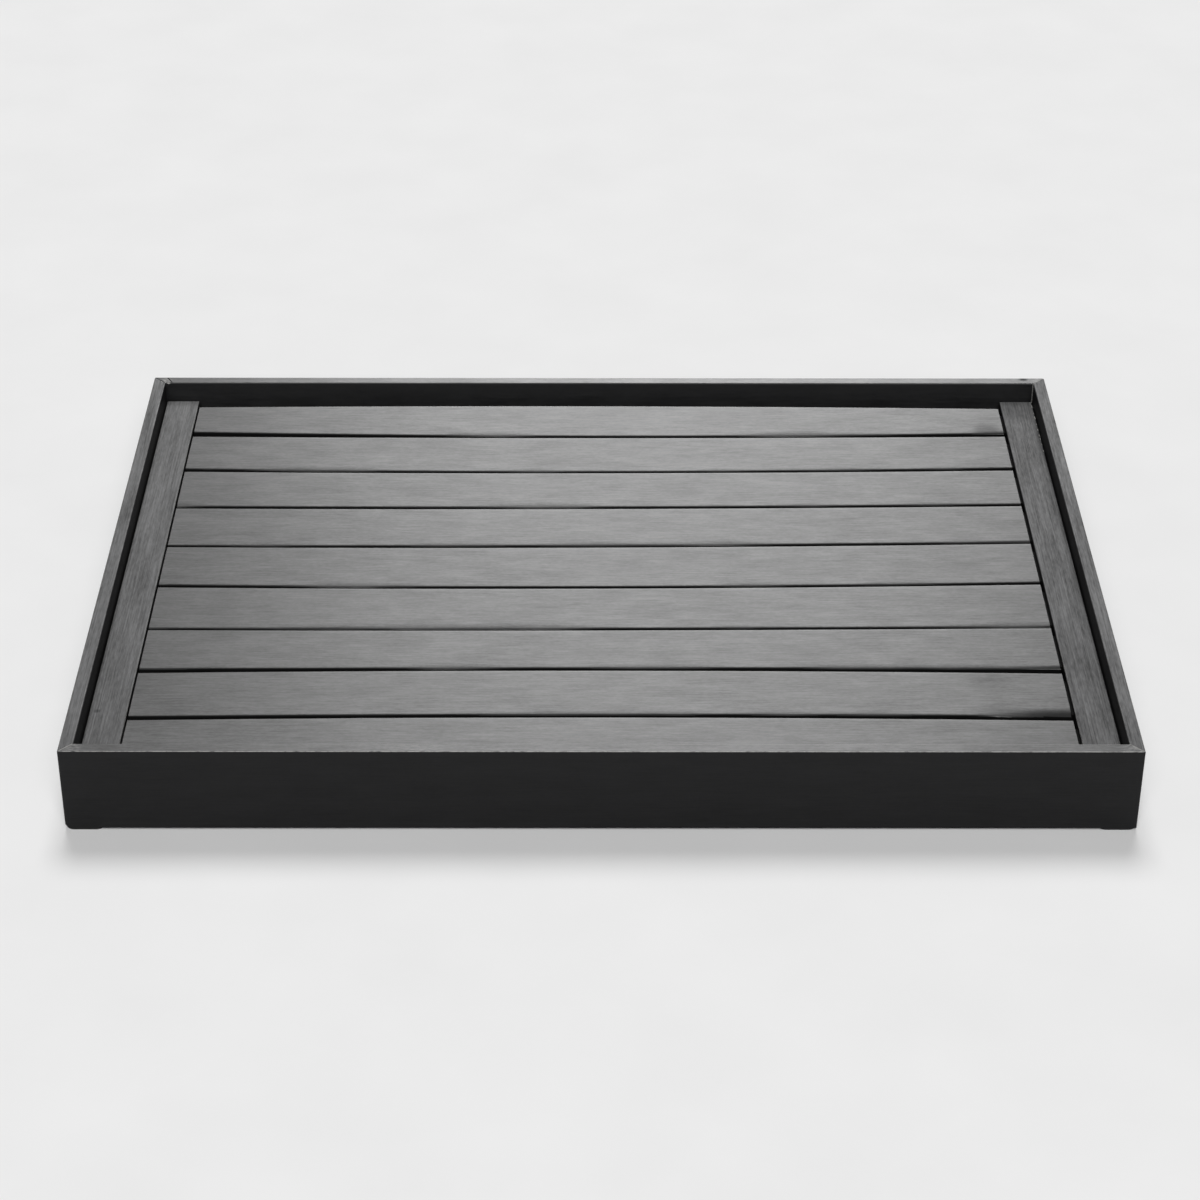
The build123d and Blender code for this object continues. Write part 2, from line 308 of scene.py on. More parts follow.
# Marks and scuffs: x, y and radius in mm, and strength
slat_marks = [(192.7, 127.0, 10.0, 0.2), (168.0, -98.0, 14.0, 0.1)]
front_scuffs = [(-219.0, -160.5, 5.0, 0.5), (220.0, -160.5, 6.0, 0.45), (-80.0, -161.0, 20.0, 0.08)]
back_scuffs = [(-219.0, 160.5, 4.0, 0.6), (221.0, 161.0, 4.0, 0.4)]
bamboo = {
    "slat": bamboo_pair(
        "slats", 0, even_stain, (0.445, 0.395), full_gloss, fine_relief,
        # The slats' front arrises carry painted shade
        anisotropy=drawn_gloss, pooled=True, marks=slat_marks,
    ),
    "left_stile": bamboo_pair(
        "left stile", 1, streaky_stain, (0.62, 0.50), middle_gloss, coarse_relief, light_wear,
        marks=[(-215.2, -120.5, 2.0, 0.5)],
    ),
    "right_stile": bamboo_pair(
        "right stile", 1, streaky_stain, (0.67, 0.54), middle_gloss, coarse_relief, light_wear,
        # A painted shadow of the back wall over the back end of the right stile
        marks=[(211.0, 150.0, 20.0, 0.3)],
    ),
    "front_wall": bamboo_pair(
        "front wall", 0, even_stain, (0.445, 0.375), full_gloss, fine_relief,
        # Its arrises show more pale bamboo than the others: partly wear, partly a painted highlight along
        # the front rim
        wear=1.6, anisotropy=drawn_gloss, scuffs=front_scuffs,
    ),
    "back_wall": bamboo_pair(
        "back wall", 0, even_stain, (0.43, 0.34), middle_gloss, fine_relief, light_wear, full_gloss,
        marks=[(214.3, 163.0, 3.0, 0.6)], scuffs=back_scuffs,
    ),
    "left_wall": bamboo_pair(
        "left wall", 1, streaky_stain, (0.64, 0.46), full_gloss, coarse_relief, light_wear
    ),
    "right_wall": bamboo_pair(
        "right wall", 1, streaky_stain, (0.66, 0.48), full_gloss, coarse_relief, light_wear
    ),
}
print("stained bamboo finishes:", 2 * len(bamboo))

# %% [markdown]
# All faces of the slats other than their tops (sides, ends and tenons, in the gaps and mortises) get a
# near-black, dead flat finish with next to no gloss: painted shade in the gaps. The same finish is the dark
# joint of the crack and of the back left mitre, and lines the screw holes. Where a chip or a worn joint
# shows the bamboo under the stain, it is bare, pale grey from handling, and dull. The same pale finish
# draws the painted highlight along the inner arrises of the stiles.

# %% Joints, gap shade and bare bamboo
joint_and_gap_shade_stain = ("0b0b0b", "131313")
# Near-black and dead flat: painted shade in the gaps between slats, and a dark joint in the crack and back
# left mitre
dark_joint_and_gap_shade = stained_bamboo(
    "bamboo, black stained, soaked joint, dead flat", 0, joint_and_gap_shade_stain,
    roughness=(0.8, 0.95), gloss=0.05, relief=fine_relief, wear=0,
)
crumb = 0.8 * mm
speckle_limits = (0.3, 0.7)


def speckled(name, colours, roughness, sizes, relief, gloss=0.5, metallic=0.0, detail=4):
    """A finish whose colour and roughness follow one noise with the given sizes along X, Y and Z."""
    material, tree, place = new_finish(name)
    stretched = add_node(tree, "Mapping", {"Vector": place, "Scale": [1 / size for size in sizes]})
    grain = add_node(tree, "TexNoise", {"Vector": stretched, "Scale": 1, "Detail": detail})
    tone = add_node(tree, "MapRange", [grain, *speckle_limits, 0, 1])
    mix = {"Factor": tone, "A": linear(colours[0]), "B": linear(colours[1])}
    colour = add_node(tree, "Mix", mix, in_colour, "Result")
    rough = add_node(tree, "MapRange", [tone, 0, 1, *roughness])
    close_finish(tree, colour, rough, gloss, relief, grain, Metallic=metallic)
    return material


# Bare bamboo for chips, and also for the pale painted highlight lines on the stiles
bare_bamboo_and_highlight = speckled(
    "bamboo, bare where chipped, and painted highlight lines", ("7c7b79", "a5a4a1"), (0.55, 0.75), [crumb] * 3,
    gloss=0.3, relief=0.05 * mm,
)
print("finishes of the joints:", [dark_joint_and_gap_shade.name, bare_bamboo_and_highlight.name])

# %% [markdown]
# The hidden woods. Ledges and battens are bamboo offcuts, brushed once with the same stain: their fibres
# run front to back, and the brush leaves them matt and a little brown. The base is thin plywood, whose
# rotary-cut face shows long, drifting figure. The splines in the mitres are beech, left plain, with the
# short darker flecks of its rays.

# %% Hidden woods
veneer_figure = (110 * mm, 7 * mm, 7 * mm)
veneer_pores = (5 * mm, 0.5 * mm, 0.5 * mm)
veneer_drift = 1.2
pore_share = 0.35
veneer_stain = ("121110", "2a2724")
veneer_roughness = (0.62, 0.82)


def stained_plywood():
    """Rotary-cut face veneer, stained black: drifting dark bands with fine pores between them."""
    material, tree, place = new_finish("plywood, rotary-cut face, black stained")
    noises = []
    for sizes, detail, drift in ((veneer_figure, 3, veneer_drift), (veneer_pores, 2, 0)):
        stretched = add_node(tree, "Mapping", {"Vector": place, "Scale": [1 / size for size in sizes]})
        inputs = {"Vector": stretched, "Scale": 1, "Detail": detail, "Distortion": drift}
        noises.append(add_node(tree, "TexNoise", inputs))
    mix = {"Factor": pore_share, "A": noises[0], "B": noises[1]}
    tone = add_node(tree, "MapRange", [add_node(tree, "Mix", mix, output="Result"), *tone_limits, 0, 1])
    mix = {"Factor": tone, "A": linear(veneer_stain[0]), "B": linear(veneer_stain[1])}
    colour = add_node(tree, "Mix", mix, in_colour, "Result")
    rough = add_node(tree, "MapRange", [tone, 0, 1, *veneer_roughness])
    close_finish(tree, colour, rough, gloss=0.3, relief=0.08 * mm, height=noises[1])
    return material


plywood = stained_plywood()
inner_bamboo = speckled(
    "bamboo, black stained once, brushed, matt",
    ("100f0e", "23201d"), (0.6, 0.8), (0.9 * mm, 30 * mm, 0.9 * mm), gloss=0.3, relief=0.06 * mm,
)
plain_beech = speckled(
    "beech, unfinished, sawn",
    ("a58462", "c6a882"), (0.55, 0.75), (6 * mm, 1.1 * mm, 1.1 * mm), gloss=0.4, relief=0.05 * mm,
)
print("hidden woods:", [finish.name for finish in (plywood, inner_bamboo, plain_beech)])

# %% [markdown]
# Steel, rubber and plastic. The brads, pins and screws are zinc plated: a bright, slightly spangled
# metal, blurred by the plating. The pads are die-cut black rubber with a fine pebbled skin. The pan is
# moulded in black ABS from an eroded mould, which gives a soft, even, very fine texture. Its real grain
# is about 0.1 mm: it is drawn five times as coarse so that it shows at all.

# %% Steel, rubber and plastic
spangle = 1.2 * mm
rubber_pebble = 0.8 * mm
mould_grain = 5 * 0.1 * mm
zinc = speckled(
    "steel, zinc plated", ("a4a6a8", "c9cacb"), (0.28, 0.45), [spangle] * 3,
    metallic=1.0, relief=0.01 * mm,
)
rubber = speckled(
    "rubber, black, die-cut", ("131313", "202020"), (0.6, 0.85), [rubber_pebble] * 3,
    gloss=0.3, relief=0.08 * mm,
)
moulded_abs = speckled(
    "ABS, black, moulded, fine texture", ("121213", "1b1b1c"), (0.42, 0.6), [mould_grain] * 3,
    gloss=0.45, relief=0.03 * mm, detail=2,
)
print("steel, rubber and plastic:", [finish.name for finish in (zinc, rubber, moulded_abs)])

# %% [markdown]
# Helpers for working as by hand. An operator acts on all that is selected, so each job starts by
# selecting one object alone. In edit mode, faces, edges and points are picked by where they are or which
# way they look, which is what a click on them would do.

# %% Helpers for modelling
hair = 0.01 * mm
merge_distance = hair / 10
squarely = 0.99  # the least share of a normal along an axis for a face to look that way


def alone(piece):
    """Make one object the only selected one, and the active one."""
    bpy.ops.object.select_all(action="DESELECT")
    piece.select_set(True)
    bpy.context.view_layer.objects.active = piece


def pick(piece, kind, test):
    """In edit mode, select only the verts, edges or faces that pass a test."""
    bpy.ops.mesh.select_mode(type={"verts": "VERT", "edges": "EDGE", "faces": "FACE"}[kind])
    bpy.ops.mesh.select_all(action="DESELECT")
    cage = bmesh.from_edit_mesh(piece.data)
    cage.normal_update()
    for part in getattr(cage, kind):
        if test(part):
            part.select_set(True)
    bmesh.update_edit_mesh(piece.data)


def work(piece, kind, **settings):
    """Give a piece a modifier and apply it."""
    alone(piece)
    modifier = piece.modifiers.new(kind.lower(), kind)
    for key, value in settings.items():
        setattr(modifier, key, value)
    bpy.ops.object.modifier_apply(modifier=modifier.name)


def cut(piece, tool):
    """Cut a piece with another object, which leaves its own finish on the cut and is thrown away."""
    settings = {"operation": "DIFFERENCE", "solver": "EXACT", "material_mode": "TRANSFER"}
    work(piece, "BOOLEAN", object=tool, **settings)
    bpy.data.objects.remove(tool)


def settle(piece):
    """Write an object's place, turn and size into its mesh."""
    alone(piece)
    bpy.ops.object.transform_apply(location=True, rotation=True, scale=True)
    return piece


def give(piece, *finishes):
    """Give a piece its finishes, in place of any that it has."""
    piece.data.materials.clear()
    for finish in finishes:
        piece.data.materials.append(finish)


def span(points):
    """Lowest and highest corner of a list of points."""
    return [Vector([end(p[axis] for p in points) for axis in range(3)]) for end in (min, max)]


def ease(share):
    """A soft start and stop between 0 and 1."""
    share = min(1, max(0, share))
    return share * share * (3 - 2 * share)


# %% [markdown]
# The slats. On the real tray each is a bamboo strip, ripped and planed by hand, so its long edges wander
# by a millimetre or so. One could push the corners of a box about, but the CAD slat already has the true
# outline. So each starts as a flat ladder of short faces at the height of the slat's foot, a little too
# wide, and a Shrinkwrap pulls its two long edges onto the CAD slat. Then it is pulled up to its thickness.
# The grille was clamped up from the left, where the slats' shoulders all but touch the stile: their left
# ends are pulled out by most of the gap.

# %% Slat blanks
slat_names = [f"slat_{number}" for number in range(1, 10)]
slat_steps = 100
strip_lift = 0.8 * mm
strip_spare_share = 1.3
tight_shoulder = 0.7 * mm


def slat_blank(node):
    """A slat with square edges, standing exactly where the CAD slat does."""
    low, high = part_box(node)
    points = [v.co for v in frame["nodes"][node].data.vertices]
    foot_low, foot_high = span([p for p in points if p.z < low.z + hair])
    middle = (foot_low + foot_high) / 2
    bpy.ops.object.select_all(action="DESELECT")
    bpy.ops.mesh.primitive_grid_add(
        x_subdivisions=slat_steps,
        y_subdivisions=1,
        size=1,
        location=(middle.x, middle.y, low.z + strip_lift),
    )
    piece = bpy.context.object
    piece.name = f"{node}_planed"
    length = foot_high.x - foot_low.x - 2 * hair
    bpy.ops.transform.resize(value=(length, (high.y - low.y) * strip_spare_share, 1))
    settle(piece)
    wrap = {"wrap_method": "PROJECT", "use_project_y": True}
    wrap.update({"use_negative_direction": True, "use_positive_direction": True})
    work(piece, "SHRINKWRAP", target=frame["nodes"][node], **wrap)
    bpy.ops.object.mode_set(mode="EDIT")
    bpy.ops.mesh.select_all(action="SELECT")
    bpy.ops.transform.translate(value=(0, 0, -strip_lift))
    bpy.ops.mesh.extrude_region_move(TRANSFORM_OT_translate={"value": (0, 0, high.z - low.z)})
    bpy.ops.mesh.select_all(action="SELECT")
    bpy.ops.mesh.normals_make_consistent(inside=False)
    pick(piece, "faces", lambda f: f.normal.x < -squarely)
    bpy.ops.transform.translate(value=(-tight_shoulder, 0, 0))
    bpy.ops.object.mode_set(mode="OBJECT")
    return piece


slats = {node: slat_blank(node) for node in slat_names}
print("slat blanks:", len(slats), "with", len(slats["slat_1"].data.polygons), "faces each")

# %% [markdown]
# The tenons. Each end of a slat is cut back to a stub that sits in a mortise of the stile. By hand: take
# the end face, inset it by the shoulder, narrow it to the width of the CAD tenon, and pull it out.

# %% Slat tenons
def pull_tenon(piece, node, side):
    """Make the tenon at one end of a slat (side -1 left, 1 right), and say how long it is."""
    low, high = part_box(node)
    tip_x = high.x if side > 0 else low.x
    points = [v.co for v in frame["nodes"][node].data.vertices]
    tip_low, tip_high = span([p for p in points if abs(p.x - tip_x) < hair])
    alone(piece)
    bpy.ops.object.mode_set(mode="EDIT")
    pick(piece, "faces", lambda f: side * f.normal.x > squarely)
    bpy.ops.mesh.inset(thickness=tip_low.z - low.z, depth=0)
    inset_low, inset_high = span([v.co for v in bmesh.from_edit_mesh(piece.data).verts if v.select])
    middle = (inset_low + inset_high) / 2
    share = (tip_high.y - tip_low.y) / (inset_high.y - inset_low.y)
    step = (tip_low + tip_high) / 2 - middle
    bpy.ops.transform.resize(value=(1, share, 1), center_override=middle)
    bpy.ops.transform.translate(value=(0, step.y, step.z))
    bpy.ops.mesh.extrude_region_move(TRANSFORM_OT_translate={"value": (step.x, 0, 0)})
    bpy.ops.object.mode_set(mode="OBJECT")
    return abs(step.x)


for node, piece in slats.items():
    tenon_lengths = [pull_tenon(piece, node, side) for side in (-1, 1)]
print("tenon lengths in mm:", [round(length / mm, 2) for length in tenon_lengths])

# %% [markdown]
# The arrises. A block plane and sandpaper round the front top one to just under a millimetre. The back
# and lower ones are only broken, and the sawn ends just lose their sharpness. The Bevel operator does it
# all, on edges picked by their place.

# %% Slat arrises
top_arris = 0.8 * mm
foot_arris = 0.4 * mm
back_arris = 0.3 * mm
end_arris = 0.2 * mm
corner_bend = math.radians(45)


def is_corner(edge):
    """Whether an edge is a corner of the piece, not a line across a flat or gently curved face."""
    return len(edge.link_faces) == 2 and edge.calc_face_angle() > corner_bend


def round_arrises(piece, low, high):
    """Round the arrises round the top and the foot of a slat."""
    alone(piece)
    bpy.ops.object.mode_set(mode="EDIT")
    ends = [end(v.co.x for v in piece.data.vertices if v.co.z > high.z - hair) for end in (min, max)]
    middle = (low.y + high.y) / 2

    def at_end(edge):
        return any(max(abs(v.co.x - end) for v in edge.verts) < 2 * hair for end in ends)

    def long_corner(edge):
        return is_corner(edge) and not at_end(edge)

    def on_top(edge, side):
        return min(v.co.z for v in edge.verts) > high.z - hair and side * (edge.verts[0].co.y - middle) > 0

    def round_the_end(edge):
        lowest = min(v.co.z for v in edge.verts)
        return is_corner(edge) and at_end(edge) and lowest > high.z - top_arris - hair

    pick(piece, "edges", lambda e: long_corner(e) and on_top(e, -1))
    bpy.ops.mesh.bevel(offset=top_arris, segments=4, profile=0.5)
    pick(piece, "edges", lambda e: long_corner(e) and on_top(e, 1))
    bpy.ops.mesh.bevel(offset=back_arris, segments=3, profile=0.5)
    pick(piece, "edges", lambda e: long_corner(e) and max(v.co.z for v in e.verts) < low.z + hair)
    bpy.ops.mesh.bevel(offset=foot_arris, segments=2, profile=0.5)
    pick(piece, "edges", round_the_end)
    bpy.ops.mesh.bevel(offset=end_arris, segments=1)
    bpy.ops.object.mode_set(mode="OBJECT")


for node, piece in slats.items():
    round_arrises(piece, *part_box(node))
print("faces after the arrises:", len(slats["slat_1"].data.polygons))

# %% [markdown]
# The screw holes. A screw comes up from each batten into each slat, so the slats are drilled from below:
# a Boolean difference with a cylinder at each CAD screw, a twentieth of a millimetre larger all round.
# The CAD's screws are one node for each batten, so its loose parts are taken apart first.

# %% Slat screw holes
drill_clearance = 0.05 * mm
drill_sides = 24


def loose_parts(node):
    """The points of each separate solid of a CAD node."""
    cage = bmesh.new()
    cage.from_mesh(frame["nodes"][node].data)
    bmesh.ops.remove_doubles(cage, verts=cage.verts, dist=merge_distance)
    waiting = set(cage.verts)
    found = []
    while waiting:
        solid, reached = [], [waiting.pop()]
        while reached:
            vertex = reached.pop()
            solid.append(vertex.co.copy())
            neighbours = {edge.other_vert(vertex) for edge in vertex.link_edges} & waiting
            waiting -= neighbours
            reached += neighbours
        found.append(solid)
    cage.free()
    return found


screws = loose_parts("left_batten_screws") + loose_parts("right_batten_screws")


def drill(piece, low, high):
    """Drill a slat for the screws that come up into it."""
    for points in screws:
        top = max(p.z for p in points)
        tip_low, tip_high = span([p for p in points if p.z > top - hair])
        middle = (tip_low + tip_high) / 2
        if low.y < middle.y < high.y:
            bpy.ops.object.select_all(action="DESELECT")
            bpy.ops.mesh.primitive_cylinder_add(
                vertices=drill_sides,
                radius=(tip_high.x - tip_low.x) / 2 + drill_clearance,
                depth=2 * (top + drill_clearance - low.z),
                location=(middle.x, middle.y, low.z),
            )
            give(bpy.context.object, dark_joint_and_gap_shade)
            cut(piece, settle(bpy.context.object))


for node, piece in slats.items():
    # The slats' other faces get the near-black finish: painted shade in the gaps and mortises
    give(piece, bamboo["slat"][0], dark_joint_and_gap_shade)
    drill(piece, *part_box(node))
print("screws:", len(screws))

# %% [markdown]
# The wear. The front of each slat, towards whoever pours, falls away unevenly where it has been rubbed,
# and near the right end of the last but one slat it rolls over in a long scoop. The back falls away over
# a millimetre or two: it mirrors the low light behind the tray, and draws the fine bright line that every
# slat has there. First the top gets rows of points along the slat, close together near both edges. A
# vertex group then holds how far each point sinks: most at the edge, over a band whose width comes from
# a smooth noise along the slat. A Displace modifier lowers the points by it, and once more for a scoop.

# %% Slat wear
wide_rows = 11
fine_rows = 5
fine_band = {-1: 6.5 * mm, 1: 4 * mm}
narrow_wear = 1.2 * mm
wide_wear = 5 * mm
wear_slope = 0.14
wear_below_top = 1.01 * top_arris
wear_onset = 2
back_reach = 2.0 * mm
back_fall = 0.16 * mm
usual_wear = 0.38
wear_contrast = 1.5
wear_wander = 90 * mm
wander_shape = (0.8, 2, 3)
inner_half = 10 * mm

# Scoops in front arrises: where they are deepest, their length to one side, reach and depth
right_end = 200 * mm
scoops = {
    "slat_1": (right_end, 26 * mm, 3.0 * mm, 0.7 * mm),
    "slat_4": (right_end, 30 * mm, 2.0 * mm, 0.5 * mm),
    "slat_6": (-125 * mm, 45 * mm, 3.4 * mm, 0.5 * mm),
    "slat_7": (right_end, 30 * mm, 3.0 * mm, 0.9 * mm),
    "slat_8": (right_end, 44 * mm, 6.5 * mm, 3.0 * mm),
}


def edge_line(piece, low, side):
    """A slat's front (side -1) or back (1) edge as a smooth curve: its depth at any place along it."""
    foot = [v.co for v in piece.data.vertices if v.co.z < low.z + hair]
    middle = sum(p.y for p in foot) / len(foot)
    edge = [p for p in foot if side * (p.y - middle) > inner_half]
    return np.poly1d(np.polyfit([p.x for p in edge], [p.y + side * foot_arris for p in edge], 2))


def add_rows(piece, high, lines):
    """Divide the top of a slat lengthwise, and once more near its edges."""

    def crosses_top(edge):
        ends = [v.co for v in edge.verts]
        return min(p.z for p in ends) > high.z - hair and abs(ends[0].x - ends[1].x) < hair

    def near_edge(edge):
        return any(
            max(side * (line(v.co.x) - v.co.y) for v in edge.verts) < fine_band[side]
            for side, line in lines.items()
        )

    alone(piece)
    bpy.ops.object.mode_set(mode="EDIT")
    pick(piece, "edges", crosses_top)
    bpy.ops.mesh.subdivide(number_cuts=wide_rows)
    pick(piece, "edges", lambda e: crosses_top(e) and near_edge(e))
    bpy.ops.mesh.subdivide(number_cuts=fine_rows)
    bpy.ops.object.mode_set(mode="OBJECT")


def lower(piece, depth, share):
    """Lower each point by the share of a depth that a function of its place gives."""
    group = piece.vertex_groups.new(name="lowered")
    for vertex in piece.data.vertices:
        weight = share(vertex.co)
        if weight > 0:
            group.add([vertex.index], min(1, weight), "REPLACE")
    work(piece, "DISPLACE", vertex_group=group.name, strength=-depth, direction="Z", mid_level=0)
    piece.vertex_groups.clear()


def wear_down(piece, node, low, high):
    """Rub down the front and the back of a slat."""
    lines = {side: edge_line(piece, low, side) for side in (-1, 1)}
    add_rows(piece, high, lines)
    touched = high.z - wear_below_top

    def sunk(p, side, reach):
        inward = max(0, 1 - side * (lines[side](p.x) - p.y) / reach)
        return min(1, inward) ** wear_onset * ease((p.z - touched) / top_arris)

    def worn(p):
        wander = noise.fractal((p.x / wear_wander, low.y / mm, 0), *wander_shape)
        reach = narrow_wear + (wide_wear - narrow_wear) * ease(usual_wear + wander) ** wear_contrast
        return sunk(p, -1, reach) * reach / wide_wear

    lower(piece, wear_slope * wide_wear, worn)
    lower(piece, back_fall, lambda p: sunk(p, 1, back_reach))
    if node in scoops:
        middle, length, reach, depth = scoops[node]
        lower(piece, depth, lambda p: sunk(p, -1, reach) * ease(1 - abs(middle - p.x) / length))


for node, piece in slats.items():
    wear_down(piece, node, *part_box(node))
print("slat faces:", {node: len(piece.data.polygons) for node, piece in slats.items()})

# %% [markdown]
# A merged copy. A CAD node's mesh is loose triangles, so a piece that starts from a node is a copy with
# its doubles merged and its flat triangles joined, ready for the edit tools.

# %% Copy a node
flat_bend = math.radians(0.1)


def merged_copy(node, name):
    """A new object with a clean copy of a CAD node's mesh."""
    piece = bpy.data.objects.new(name, frame["nodes"][node].data.copy())
    bpy.context.scene.collection.objects.link(piece)
    alone(piece)
    bpy.ops.mesh.customdata_custom_splitnormals_clear()
    bpy.ops.object.mode_set(mode="EDIT")
    bpy.ops.mesh.select_all(action="SELECT")
    bpy.ops.mesh.remove_doubles(threshold=merge_distance)
    bpy.ops.mesh.dissolve_limited(angle_limit=flat_bend)
    bpy.ops.object.mode_set(mode="OBJECT")
    return piece


# %% [markdown]
# The frame and the stiles are merged copies. Each gets the pair of finishes of its own strip of bamboo,
# the rubbed one on the faces that look up and the matt one on all others, before anything is cut: every
# cut then brings its own finish with it. So the faces that look up get the lighter stain and all others
# the darker one, which is partly painted light.

# %% Walls and stiles
wall_names = ["front_wall", "back_wall", "left_wall", "right_wall"]
stile_names = ["left_stile", "right_stile"]
rubbed_slope = 0.75
# Faces that look back keep the lighter satin down to a lower slope: partly a painted highlight on back
# arrises
rubbed_slope_behind = 0.15
wall_thickness = half_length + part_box("left_wall")[1].x


def sort_faces(piece, top):
    """Give the first finish to the rubbed faces on top, and the second, darker as painted shade, to the
    rest.
    """
    for face in piece.data.polygons:
        slope = rubbed_slope if face.normal.y < 0 else rubbed_slope_behind
        rubbed = face.normal.z > slope and face.center.z > top - 2 * top_arris
        face.material_index = 0 if rubbed else 1


walls = {node: merged_copy(node, f"{node}_mitred") for node in wall_names}
stiles = {node: merged_copy(node, f"{node}_planed") for node in stile_names}
for node, piece in {**walls, **stiles}.items():
    give(piece, *bamboo[node])
for node, piece in {**walls, **stiles, **slats}.items():
    sort_faces(piece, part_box(node)[1].z)
print("wall thickness in mm:", round(wall_thickness / mm, 2))

# %% [markdown]
# The mitres. Four walls meet in glued mitres, and such a joint always shows: the ends are broken by a
# stroke of sandpaper before the glue-up, which leaves a fine V along the joint. A thin square bar lying
# on its edge, half sunk in the rim along the mitre, cuts the V from both walls. The same tool scores the
# short crack beside the back left mitre and opens the upright joint in the back right inner corner. It
# also cuts a pale line of bare bamboo along the inner arris of each stile: a painted highlight, where the
# rounded arris catches the light.

# %% Mitre lines and a crack
mitre_break = 0.26 * mm
overrun = 0.2
crack = (Vector((-218.6, 163.7, 40.2)) * mm, Vector((-215.5, 158.4, 40.2)) * mm)
crack_width = 0.36 * mm
inner_corner = (Vector((219.0, 158.0, 29.0)) * mm, Vector((219.0, 158.0, 42.0)) * mm)
inner_break = 0.6 * mm
# Pale lines along the inner arrises of the stiles: painted highlights
stile_highlight_lines = {
    "left_stile": (Vector((-202.25, -157.0, 30.7)) * mm, Vector((-202.25, 150.0, 30.7)) * mm),
    "right_stile": (Vector((202.25, -146.0, 30.7)) * mm, Vector((202.25, -60.0, 30.7)) * mm),
}
highlight_line_width = 0.5 * mm


def square_bar(start, end, width, finish):
    """A square bar from one point to another, with an edge up where it lies flat."""
    turn = (end - start).to_track_quat("X", "Z") @ Quaternion((1, 0, 0), math.radians(45))
    bpy.ops.object.select_all(action="DESELECT")
    bpy.ops.mesh.primitive_cube_add(
        size=1,
        location=(start + end) / 2,
        rotation=turn.to_euler(),
        scale=((end - start).length, width, width),
    )
    give(bpy.context.object, finish)
    return settle(bpy.context.object)


for side_x, side_y in [(-1, -1), (1, -1), (1, 1), (-1, 1)]:
    outer = Vector((side_x * half_length, side_y * half_depth, rim_top))
    inward = Vector((-side_x, -side_y, 0))
    across_wall = inward * wall_thickness
    line = (outer - across_wall * overrun, outer + across_wall * (1 + overrun))
    back_left = side_x < 0 < side_y
    finish = dark_joint_and_gap_shade if back_left else bare_bamboo_and_highlight
    for node in ("left_wall" if side_x < 0 else "right_wall", "front_wall" if side_y < 0 else "back_wall"):
        cut(walls[node], square_bar(*line, mitre_break, finish))
cut(walls["back_wall"], square_bar(*crack, crack_width, dark_joint_and_gap_shade))
for node in ("back_wall", "right_wall"):
    cut(walls[node], square_bar(*inner_corner, inner_break, bare_bamboo_and_highlight))
for node, line in stile_highlight_lines.items():
    cut(stiles[node], square_bar(*line, highlight_line_width, bare_bamboo_and_highlight))
print("faces of the back wall:", len(walls["back_wall"].data.polygons))

# %% [markdown]
# Chips. A stained finish shows every knock, because the bamboo is pale under the stain. Near the back
# left mitre the rim has lost a few crumbs, and so has the outer arris of the right stile near its back
# end. Each is cut with a small lumpy ball: an icosphere, squashed and jittered with a fixed seed.

# %% Chips
draw = random.Random(7)
chip_jitter = 0.3
stile_chip_count = 9
stile_chip_width = 0.6
stile_chip_lengths = (0.6, 2.2)
stile_chip_depth = 0.45
stile_chip_spread = (0.2, 0.8)
stile_chips_from = Vector((218.4, 104, 30.7)) * mm
stile_chips_to = Vector((218.4, 154, 30.7)) * mm
rim_chips = [
    ("left_wall", (-220.6, 159.6, 40.2), (0.7, 0.9, 0.3)),
    ("back_wall", (-219.3, 160.6, 40.2), (1.0, 0.5, 0.3)),
    ("back_wall", (-217.4, 158.1, 40.1), (0.9, 0.5, 0.5)),
    ("front_wall", (-218.4, -158.2, 40.2), (0.9, 0.5, 0.3)),
]


def chip(piece, place, size, seed):
    """Knock a small crumb out of a piece."""
    bpy.ops.object.select_all(action="DESELECT")
    bpy.ops.mesh.primitive_ico_sphere_add(subdivisions=2, radius=1, location=place)
    ball = bpy.context.object
    bpy.ops.transform.resize(value=size)
    give(ball, bare_bamboo_and_highlight)
    settle(ball)
    bpy.ops.object.mode_set(mode="EDIT")
    bpy.ops.mesh.select_all(action="SELECT")
    bpy.ops.transform.vertex_random(offset=min(size) * chip_jitter, seed=seed)
    bpy.ops.object.mode_set(mode="OBJECT")
    cut(piece, ball)


for number, (node, place, size) in enumerate(rim_chips):
    chip(walls[node], Vector(place) * mm, Vector(size) * mm, number)
for number in range(stile_chip_count):
    share = (number + draw.uniform(*stile_chip_spread)) / stile_chip_count
    place = stile_chips_from.lerp(stile_chips_to, share)
    size = Vector((stile_chip_width, draw.uniform(*stile_chip_lengths), stile_chip_depth)) * mm
    chip(stiles["right_stile"], place, size, number)
print("chips:", len(rim_chips) + stile_chip_count)

# %% [markdown]
# The feet. Each is a die-cut pad of black rubber, stuck under a corner of the frame. The die leaves its
# corners a little round and its lower edge soft, and the underside is slightly dished so that it grips.
# A cube is set to the pad's size, its edges are bevelled, and its lower face is inset and pushed up.

# %% Rubber pads
pad_names = [f"{end}_{side}_foot" for end in ("front", "back") for side in ("left", "right")]
pad_corner = 3.2 * mm
pad_edge = 0.4 * mm
pad_rim = 1.6 * mm
pad_dish = 0.15 * mm


